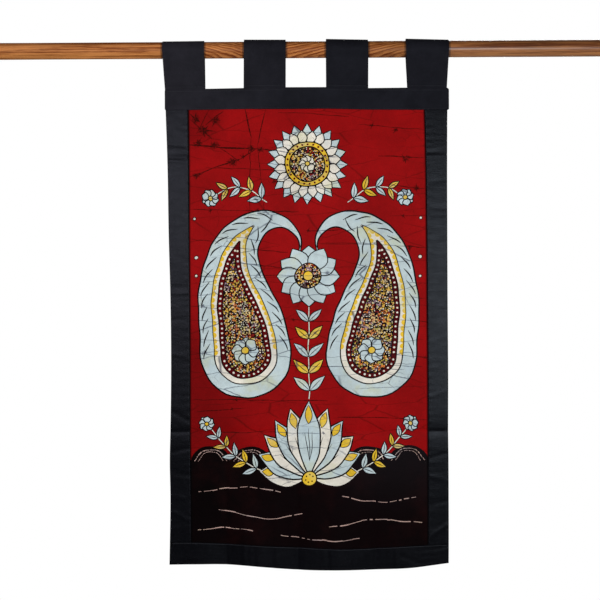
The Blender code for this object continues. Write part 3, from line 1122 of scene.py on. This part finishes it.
def panel_cloth(material):
    """The dyed panel, hung on its folds, as a closed sheet whose every triangle carries its dye.

    The dye's alpha is 1 where small wax spots fill a field, and 0 elsewhere.
    """
    flat, triangles, dyes, cracked = picture_mesh()
    height = HEM_SEAM + flat[:, 1] * MM
    _, left_seam, right_seam, _ = outline_at(height)
    share = (flat[:, 0] + PANEL_HALF_WIDTH) / (2 * PANEL_HALF_WIDTH)
    middle = hung(between(left_seam, right_seam, share), height)
    half = (0, PLY / 2, 0)
    far = len(middle)
    ends = np.concatenate([triangles[:, [0, 1]], triangles[:, [1, 2]], triangles[:, [2, 0]]])
    _, index, count = np.unique(np.sort(ends, axis=1), axis=0, return_index=True, return_counts=True)
    on_rim = index[count == 1]
    a, b = ends[on_rim].T
    sides = [np.stack([b, a, a + far], axis=1), np.stack([b, a + far, b + far], axis=1)]
    faces = np.concatenate([triangles, triangles[:, ::-1] + far, *sides])
    every = np.arange(len(triangles))
    owner = np.concatenate([every, every, on_rim % len(every), on_rim % len(every)])
    points = [middle - half, middle + half]
    piece = make_piece("panel_cloth", points, faces.tolist(), material, "batik_panel")
    mesh = piece.data
    cloth = [grid(flat[:, 0] * MM, flat[:, 1] * MM, layer) for layer in (0.0, 1.0)]
    store(mesh.attributes, "cloth", "FLOAT_VECTOR", "POINT", cloth)
    palette = np.array([[*linear(colour), float(name == "speckle")] for name, colour in DYES.items()])
    store(mesh.color_attributes, "dye", "FLOAT_COLOR", "CORNER", np.repeat(palette[dyes[owner]], 3, axis=0))
    store(mesh.attributes, "cracked", "FLOAT", "CORNER", np.repeat(cracked[owner], 3))
    return piece


# Materials


def rgba(colour):
    return (*(float(c) for c in linear(colour)), 1.0)


class Look:
    """A material or a world, and short ways to add shader nodes to it."""

    def __init__(self, name, kind="materials"):
        self.made = getattr(bpy.data, kind).new(name)
        self.made.use_nodes = True
        self.tree = self.made.node_tree

    def fill(self, node, inputs):
        for key, value in inputs.items():
            if isinstance(value, Signal):
                self.tree.links.new(value.socket, node.inputs[key])
            else:
                node.inputs[key].default_value = value

    def add(self, kind, inputs, output=0, **settings):
        """What a new node gives out. Its inputs are numbers, places, colours or signals."""
        node = self.tree.nodes.new("ShaderNode" + kind)
        for key, value in settings.items():
            setattr(node, key, value)
        self.fill(node, inputs)
        return Signal(self, node.outputs[output])

    def attribute(self, name, output):
        return self.add("Attribute", {}, output, attribute_name=name)

    def mix(self, share, a, b, blend="MIX"):
        """Two colours, signals or sRGB values, with this share of the second."""
        a, b = (c if isinstance(c, Signal) else rgba(c) for c in (a, b))
        return self.add("Mix", {"Factor": share, 6: a, 7: b}, 2, data_type="RGBA", blend_type=blend)

    def finished(self, inputs, end="Principled BSDF"):
        self.fill(self.tree.nodes[end], inputs)
        return self.made


def joining(operation):
    """A method that joins a signal to another, or to a number or place, with this operation."""
    return lambda signal, other=0.0: signal.join(operation, other)


class Signal:
    """What a shader node gives out: a number, a place or a colour. Its sums and methods add nodes."""

    def __init__(self, look, socket):
        self.look, self.socket = look, socket

    def output(self, name):
        """Another output of the same node."""
        return Signal(self.look, self.socket.node.outputs[name])

    def join(self, operation, other, output=0, **settings):
        kind = "Math" if self.socket.type == "VALUE" else "VectorMath"
        return self.look.add(kind, {0: self, 1: other}, output, operation=operation, **settings)

    __add__ = joining("ADD")
    __sub__ = joining("SUBTRACT")
    __mul__ = joining("MULTIPLY")
    __truediv__ = joining("DIVIDE")
    __gt__ = joining("GREATER_THAN")
    __abs__ = joining("ABSOLUTE")
    sine = joining("SINE")
    fraction = joining("FRACT")
    largest = joining("MAXIMUM")
    smallest = joining("MINIMUM")

    def rest(self):
        """1 less this number."""
        return self.look.add("Math", {0: 1.0, 1: self}, operation="SUBTRACT")

    def spread(self, low, high, to_low=0.0, to_high=1.0):
        """The number between low and high, mapped smoothly to the other two."""
        limits = {"Value": self, "From Min": low, "From Max": high, "To Min": to_low, "To Max": to_high}
        return self.look.add("MapRange", limits, interpolation_type="SMOOTHSTEP")

    def parts(self):
        """The three parts of a place or a colour."""
        part = self.look.add("SeparateColor" if self.socket.type == "RGBA" else "SeparateXYZ", {0: self})
        return [part.output(k) for k in range(3)]

    def noise(self, scale, detail=3.0, roughness=0.5):
        """Noise at this place. scale counts its waves in a metre, all round or along each axis."""
        if isinstance(scale, tuple):
            return (self * scale).noise(1.0, detail, roughness)
        inputs = {"Vector": self, "Scale": scale, "Detail": detail, "Roughness": roughness}
        return self.look.add("TexNoise", inputs)

    def strayed(self, noise, reach):
        """This place, moved by a noise."""
        return self + (noise.output("Color") - (0.5, 0.5, 0.5)) * (reach, reach, 0.0)

    def cells(self, scale, feature="F1"):
        inputs = {"Vector": self, "Scale": scale}
        return self.look.add("TexVoronoi", inputs, voronoi_dimensions="2D", feature=feature)

    def bump(self, strength, distance, **more):
        return self.look.add("Bump", {"Height": self, "Strength": strength, "Distance": distance, **more})

    def mixed(self, share, colour):
        """This colour with a share of another."""
        return self.look.mix(share, self, colour)

    def shaded(self, share):
        """This colour, lightened or darkened by a share."""
        grey = self.look.add("CombineColor", {0: share, 1: share, 2: share})
        return self.look.mix(1.0, self, grey, "MULTIPLY")


def woven_bump(place, pitch, strength, ripple):
    """Bump of a plain weave with this pitch, with slubs and with the creases of a ripple noise."""
    x, y, _ = place.parts()
    turns = 2 * math.pi / pitch
    weave = (x * turns).sine() * (y * turns).sine()
    slub = place.noise((160.0, 900.0, 1.0), 2.0)
    fine = (weave * 0.30 + slub * 0.9).bump(strength, 0.00025)
    return ripple.bump(0.22, 0.0012, Normal=fine)


def crack_lines(place, cell, stretch, width, wander):
    """Fine lines between the cells of a warped Voronoi pattern: 1 on a line and 0 away from it."""
    moved = place.strayed(place.noise(1.4 / cell, 3.0, 0.6), wander)
    cells = (moved * (1.0 / (cell * stretch), 1.0 / cell, 0.0)).cells(1.0, "DISTANCE_TO_EDGE")
    return cells.spread(0.0, width / cell, 1.0, 0.0)


def speckled_field(look, place):
    """Small wax spots in clusters of like colour, with the dark dye between them."""
    drift = place.noise(260.0, 2.0)
    spots = place.strayed(drift, 0.0034).cells(SPOTS_PER_METRE)
    pick = spots.output("Color").parts()
    patch = place.strayed(drift, 0.016).cells(PATCHES_PER_METRE).output("Color").parts()[0]
    choice = look.mix(pick[0] > 0.52, patch, pick[2])
    palette = look.add("ValToRGB", {"Fac": choice})
    bands = palette.socket.node.color_ramp
    bands.interpolation = "CONSTANT"
    while len(bands.elements) < len(SPOT_COLOURS):
        bands.elements.new(0.5)
    for band, (share, colour) in zip(bands.elements, SPOT_COLOURS):
        band.position = share
        band.color = rgba(colour)
    spot = palette.mixed(pick[1] > 0.79, (236, 226, 206))
    beyond = spots - pick[1].spread(0.0, 0.85, 0.60, 0.26)
    return spot.mixed(beyond.spread(-0.05, 0.05), (24, 6, 8))


def mottled_and_shaded(colour, place, light, pale, inked):
    """The unevenness of the dye bath, with painted shade low at the left and beside the seams, and a painted
    sheen on the black dye at the lower right.
    """
    x, y, _ = place.parts()
    broad = place.noise(11.0, 4.0, 0.55).spread(0.25, 0.75, 0.84, 1.12)
    fine = place.noise(75.0, 4.0, 0.6).spread(0.2, 0.8, -0.06, 0.06)
    colour = colour.shaded(broad + fine)
    # The red is darker low at the left, from its dye and from painted shade, and in the crushed corner
    fresh = light.spread(0.05, 0.15).rest()
    overdyed_and_shaded = x.spread(-0.02, -0.24) * y.spread(0.56, 0.36) * fresh
    colour = colour.shaded(overdyed_and_shaded.spread(0.0, 1.0, 1.0, RED_FIELD_LOW))
    crushed = place.join("DISTANCE", CRUSHED_CORNER, "Value").spread(0.105, 0.030) * fresh
    colour = colour.shaded(crushed.spread(0.0, 1.0, 1.0, CRUSHED_TONE))
    # The black dye shows its red in patches, and a painted sheen greys it at the lower right
    rusty = (place + (4.4, 6.1, 0.0)).noise(10.0, 4.0, 0.6).spread(0.46, 0.70, 0.0, 0.36)
    colour = colour.mixed(rusty * inked, (32, 8, 8))
    painted_sheen = x.spread(0.02, 0.14) * y.spread(0.04, 0.19, 0.0, 0.60) * inked
    colour = colour.mixed(painted_sheen, (20, 17, 20))
    # Painted shadow: it is darker beside the seams. The pale dye has olive and blue stains
    colour = colour.shaded(abs(x).spread(0.2458, 0.2482, 1.0, 0.35))
    olive = (place + (3.1, 1.7, 0.0)).noise(16.0, 4.0, 0.62).spread(0.50, 0.72, 0.0, 0.50)
    colour = colour.mixed(olive * pale, (186, 186, 132))
    blue = (place + (7.7, 5.2, 0.0)).noise(22.0).spread(0.50, 0.72, 0.0, 0.30)
    return colour.mixed(blue * pale, (160, 184, 200))


def crackled(colour, place, cracked, pale, plain):
    """Wax crackle: fine veins, stronger in patches, and the larger cracks that the mesh marks."""
    vein_mask = place.noise(9.0, 2.0).spread(0.34, 0.54)
    veins = crack_lines(place, cell=0.033, stretch=4.2, width=0.0011, wander=0.008) * vein_mask
    small_mask = (place + (9.0, 1.0, 0.0)).noise(8.0).spread(0.56, 0.68)
    elsewhere = place + (5.3, 2.4, 0.0)
    small = crack_lines(elsewhere, cell=0.021, stretch=1.6, width=0.0008, wander=0.010) * small_mask
    fine = veins.largest(small) * pale.spread(0.0, 1.0, 0.45, 0.95)
    large = cracked * place.noise(210.0, 2.0).spread(0.25, 0.60, 0.45, 1.0)
    soak = (place + (2.0, 8.0, 0.0)).noise(60.0, 4.0, 0.7).spread(0.62, 0.76, 0.0, 0.5) * vein_mask
    crackle = fine.largest(large).largest(soak) * plain
    colour = colour.mixed(crackle * 0.90 * pale.rest(), (24, 4, 0))
    return colour.mixed(crackle * 0.86 * pale, (62, 68, 86))


def batik_material():
    """Dyed cotton: the dye, its mottling with painted shade and sheen, wax crackle, speckled fields and the
    weave.
    """
    look = Look("batik_cotton")
    cloth = look.attribute("cloth", "Vector")
    at_back = cloth.parts()[2]
    place = cloth * (1.0, 1.0, 0.0)
    dye = look.attribute("dye", "Color")
    speckled = dye.output("Alpha") > 0.5
    colour = dye.mixed(speckled, speckled_field(look, place))
    # How pale the dye is decides which stains and which cracks show on it
    light = look.add("RGBToBW", {0: colour})
    pale = light.spread(0.12, 0.50)
    inked = light.spread(0.035, 0.010)
    colour = mottled_and_shaded(colour, place, light, pale, inked)
    colour = crackled(colour, place, look.attribute("cracked", "Fac"), pale, speckled.rest() * inked.rest())
    # Threads take the dye unevenly, and it goes through to the back, a little duller and paler
    threads = place.noise((700.0, 240.0, 1.0), 1.0)
    colour = colour.shaded(threads.spread(0.2, 0.8, 0.94, 1.06))
    colour = colour.mixed(at_back, colour.mixed(0.22, (120, 96, 92)))
    normal = woven_bump(place, BATIK_WEAVE, 0.15, place.noise((26.0, 60.0, 1.0), 3.0, 0.55))
    return look.finished(
        {"Base Color": colour, "Normal": normal, "Roughness": 0.45, "Specular IOR Level": 0.012}
    )


def black_material(name, left, right, roughness, specular):
    """Blue-black cotton: weave, lint, a little fading and the marks of pressing.

    left and right are its colours at the left and right end of the cloth. Where they differ, the lighter left
    is painted light.
    """
    look = Look(name)
    place = look.attribute("cloth", "Vector")
    colour = look.mix(place.parts()[0].spread(PAINTED_LIGHT_FROM, PAINTED_LIGHT_TO), left, right)
    colour = colour.shaded(place.noise(14.0, 8.0, 0.76).spread(0.30, 0.70, 0.74, 1.26))
    lint = place.noise((420.0, 900.0, 1.0), 2.0)
    rubbed = place.noise((34.0, 90.0, 1.0), 3.0, 0.6)
    return look.finished(
        {
            "Base Color": colour.mixed(lint.spread(0.60, 0.78, 0.0, 0.42), (56, 58, 68)),
            "Normal": woven_bump(place, BLACK_WEAVE, 0.12, place.noise((34.0, 75.0, 1.0), 4.0, 0.6)),
            "Roughness": rubbed.spread(0.3, 0.7, roughness - 0.022, roughness + 0.022),
            "Specular IOR Level": specular,
            "Specular Tint": (0.80, 0.86, 1.0, 1.0),
        }
    )


def thread_material():
    look = Look("black_thread")
    twist = look.add("TexCoord", {}, "Object").noise(2600.0, 1.0)
    colour = look.mix(twist, (18, 18, 22), (44, 45, 52))
    return look.finished({"Base Color": colour, "Normal": twist.bump(0.4, 0.0001), "Roughness": 0.55})


def wood_material():
    """Orange-brown stained oak under a thin lacquer. Its grain runs aslant between the tabs."""
    look = Look("stained_wood")
    place = look.add("TexCoord", {}, "Object")
    x, y, z = place.parts()
    between_tabs = abs(x).spread(0.30, 0.22)

    # The grain climbs to the right, but falls to the right in the first gap between the tabs
    climb = x.largest(-0.07).smallest(0.25) * 0.22
    fall = x.largest(-0.23).smallest(-0.12) * -0.26
    wave = (place.noise((30.0, 0.0, 0.0), 2.0) - 0.5) * between_tabs * 0.005
    level = z - (climb + fall + wave)
    along_grain = look.add("CombineXYZ", {0: x, 1: y, 2: level})

    streak = along_grain.noise((6.0, 210.0, 210.0), 4.0, 0.72)
    pores = along_grain.noise((42.0, 1300.0, 1300.0), 1.0)
    warp = along_grain.noise((9.0, 60.0, 60.0), 3.0, 0.6)
    year = ((level + (y * 0.30 + warp * 0.0060)) / GROWTH_LINE_PITCH).fraction()
    late = year.spread(0.30, 0.80) * year.spread(1.0, 0.88)
    streaked = streak.spread(0.42, 0.62) * between_tabs.spread(0.0, 1.0, 0.95, 0.66)
    figured = late * between_tabs.spread(0.0, 1.0, 0.12, 0.72)
    tone = figured.join("ADD", streaked, use_clamp=True)
    colour = look.mix(tone, (194, 124, 66), (118, 54, 8))
    pored = pores.spread(0.58, 0.70) * tone.spread(0.1, 0.7, 0.15, 0.60)
    colour = colour.mixed(pored, (70, 34, 10))
    colour = colour.shaded(place.noise((10.0, 30.0, 30.0)).spread(0.3, 0.7, 0.86, 1.10))
    # The stain is darker towards the right
    colour = colour.shaded(x.spread(-0.14, 0.34, 1.0, 0.57))
    # Painted shade: darker along the top, where less light falls on the pole
    colour = colour.shaded(z.spread(0.004, 0.014, 1.0, 0.70))
    # Painted reflected light: outside the tabs its lower side is a little more golden
    under = z.spread(-0.004, -0.013) * between_tabs.spread(1.0, 0.0, 0.0, 0.16)
    colour = colour.mixed(under, (190, 130, 60))
    # Painted shadow: dark along the edges of the tabs, where they shade the pole
    for edge in [side * MM for row in TABS for side in row[:2]]:
        colour = colour.shaded(abs(x - edge).spread(0.0018, 0.0050, 0.35, 1.0))
    return look.finished(
        {
            "Base Color": colour,
            "Normal": (tone * -0.4 - pored).bump(0.25, 0.0002),
            "Roughness": 0.60,
            "Specular IOR Level": 0.10,
            # The lacquer is worn away where the tabs slide and at the left, and whole at the right
            "Coat Weight": x.spread(0.20, 0.32, 0.06, 0.66),
            "Coat Roughness": 0.35,
        }
    )


# Stage, light and camera

# What one pixel of the photograph measures on the hanging, and how wide the photograph is in pixels
PIXEL_SIZE = 2.108 * MM
PHOTO_SIDE = 600
CAMERA_DISTANCE = 3.5
CAMERA_PLACE = (-0.019, -0.5274)
CAMERA_ROLL = math.radians(0.32)
SENSOR = 36.0
FLOOR_HEIGHT = -1.90
FLOOR_RADIUS = 2.6
LIGHTS = [
    # name, place, the place it points at, diameter, power, colour
    ("left softbox", (-0.60, -3.4, -0.055), (-0.1, 0.0, -0.5), 0.6, 40, (1.0, 0.94, 1.0)),
    ("right softbox", (0.60, -3.4, -0.50), (0.1, 0.0, -0.5), 0.5, 52, (0.95, 1.0, 1.0)),
    ("overhead", (-0.70, -0.8, 0.95), (-0.1, 0.0, -0.1), 0.9, 5, (1.0, 1.0, 1.0)),
    ("back", (0.6, 2.6, 0.6), (0.0, 0.0, -0.5), 1.6, 60, (1.0, 1.0, 1.0)),
]


def make_camera():
    data = bpy.data.cameras.new("camera")
    data.sensor_width = SENSOR
    data.lens = SENSOR * CAMERA_DISTANCE / (PHOTO_SIDE * PIXEL_SIZE)
    data.clip_end = 50
    camera = new_object("camera", data)
    camera.location = (CAMERA_PLACE[0], -CAMERA_DISTANCE, CAMERA_PLACE[1])
    camera.rotation_euler = (math.pi / 2, CAMERA_ROLL, 0)
    bpy.context.scene.camera = camera


def make_stage():
    centre = (0, 0, FLOOR_HEIGHT)
    bpy.ops.mesh.primitive_circle_add(vertices=96, radius=FLOOR_RADIUS, fill_type="NGON", location=centre)
    floor = bpy.context.object
    floor.name = "floor"
    pale = Look("pale_floor").finished({"Base Color": (0.86, 0.86, 0.86, 1.0), "Roughness": 0.9})
    floor.data.materials.append(pale)


def make_light(name, place, target, size, power, colour):
    data = bpy.data.lights.new(name, "AREA")
    data.shape = "DISK"
    data.size = size
    data.energy = power
    data.color = colour
    light = new_object(name, data)
    light.location = place
    light.rotation_euler = (Vector(target) - Vector(place)).to_track_quat("-Z", "Y").to_euler()


def make_world():
    """White behind the object, and softer white light from all round it."""
    look = Look("studio", "worlds")
    seen = look.add("Background", {"Color": (1.0, 1.0, 1.0, 1.0), "Strength": 1.0})
    lighting = look.add("Background", {"Color": (0.97, 0.985, 1.0, 1.0), "Strength": 0.10})
    to_camera = look.add("LightPath", {}, "Is Camera Ray")
    surface = look.add("MixShader", {0: to_camera, 1: lighting, 2: seen})
    bpy.context.scene.world = look.finished({"Surface": surface}, "World Output")
    bpy.context.scene.view_settings.view_transform = "Standard"


def main():
    make_camera()
    make_world()
    make_stage()
    for light in LIGHTS:
        make_light(*light)

    black = black_material("black_cotton", left=(4, 4, 6), right=(4, 4, 6), roughness=0.30, specular=0.05)
    # black_cotton_top is the strips' black cotton with a far lighter base, lighter still at the left: painted
    # light on the heading and tabs
    soft_black = black_material(
        "black_cotton_top", left=(31, 30, 35), right=(22, 22, 27), roughness=0.60, specular=0.03
    )
    thread = thread_material()
    pole_wood(wood_material())
    panel = panel_cloth(batik_material())
    left = side_strip("side_strip_left", -1, black, "border_left")
    right = side_strip("side_strip_right", 1, black, "border_right")
    bottom = bottom_strip(black)
    band = heading(soft_black)
    straps = [tab_strap(number, row, soft_black) for number, row in enumerate(TABS, start=1)]
    side_sewing = sewing("sewing_sides", side_rows(), thread)
    bottom_sewing = sewing("sewing_bottom", bottom_rows(), thread)
    heading_sewing = sewing("sewing_heading", heading_rows(), thread)


main()
